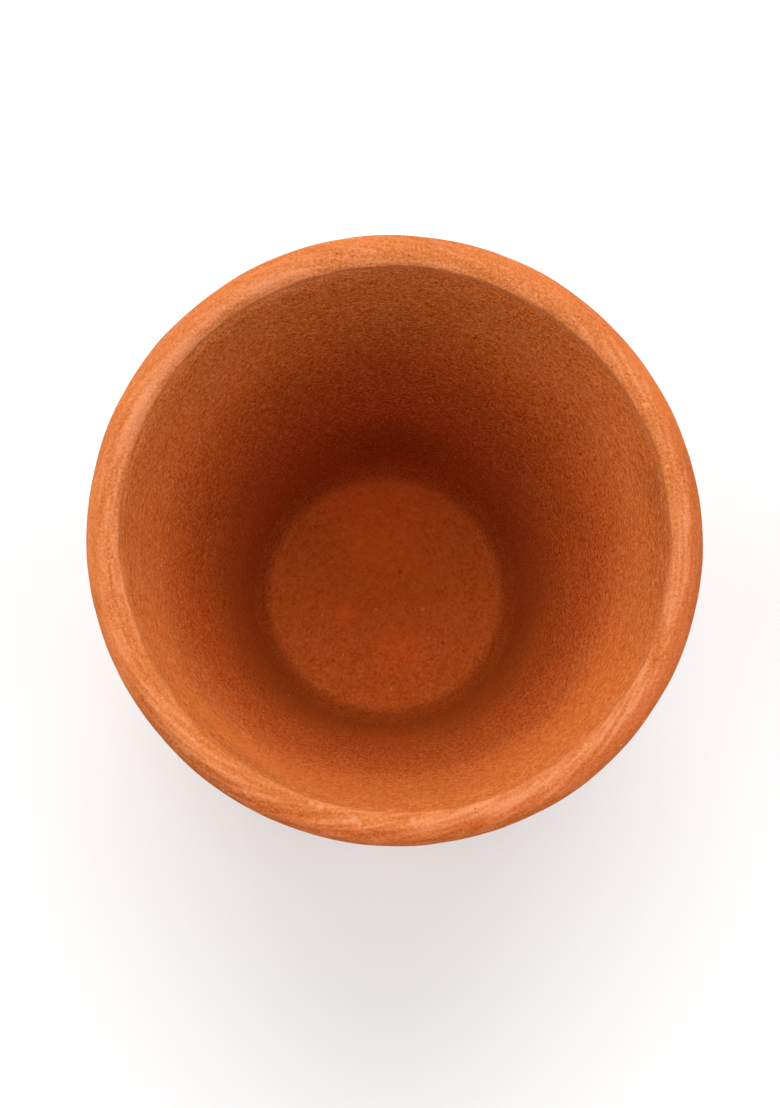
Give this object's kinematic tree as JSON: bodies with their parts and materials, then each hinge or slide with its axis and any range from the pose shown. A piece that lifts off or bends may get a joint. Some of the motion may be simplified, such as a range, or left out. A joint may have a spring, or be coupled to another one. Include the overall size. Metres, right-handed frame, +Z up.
{
  "type": "clay kulhad cup",
  "caption": "Small tapered tea cup of plain unglazed terracotta, wheel-thrown, with a thick flat floor, a thinning wall and a rolled lip. It has no handle.",
  "frame": {"origin": "centre of the flat underside", "axes": "+Z up along the axis of the cup; the cup is round about it, so +X and +Y are free"},
  "size_m": [0.08, 0.08, 0.082],
  "materials": {
    "clay_base": "matte, unglazed, sandy",
    "clay_wall": "matte, unglazed, sandy, with fine throwing lines",
    "clay_rim": "matte, unglazed, wiped smooth, with a pale bloom along the crest"
  },
  "bodies": {
    "root": {"base": "clay_base", "wall": "clay_wall", "rim": "clay_rim"}
  },
  "joints": []
}
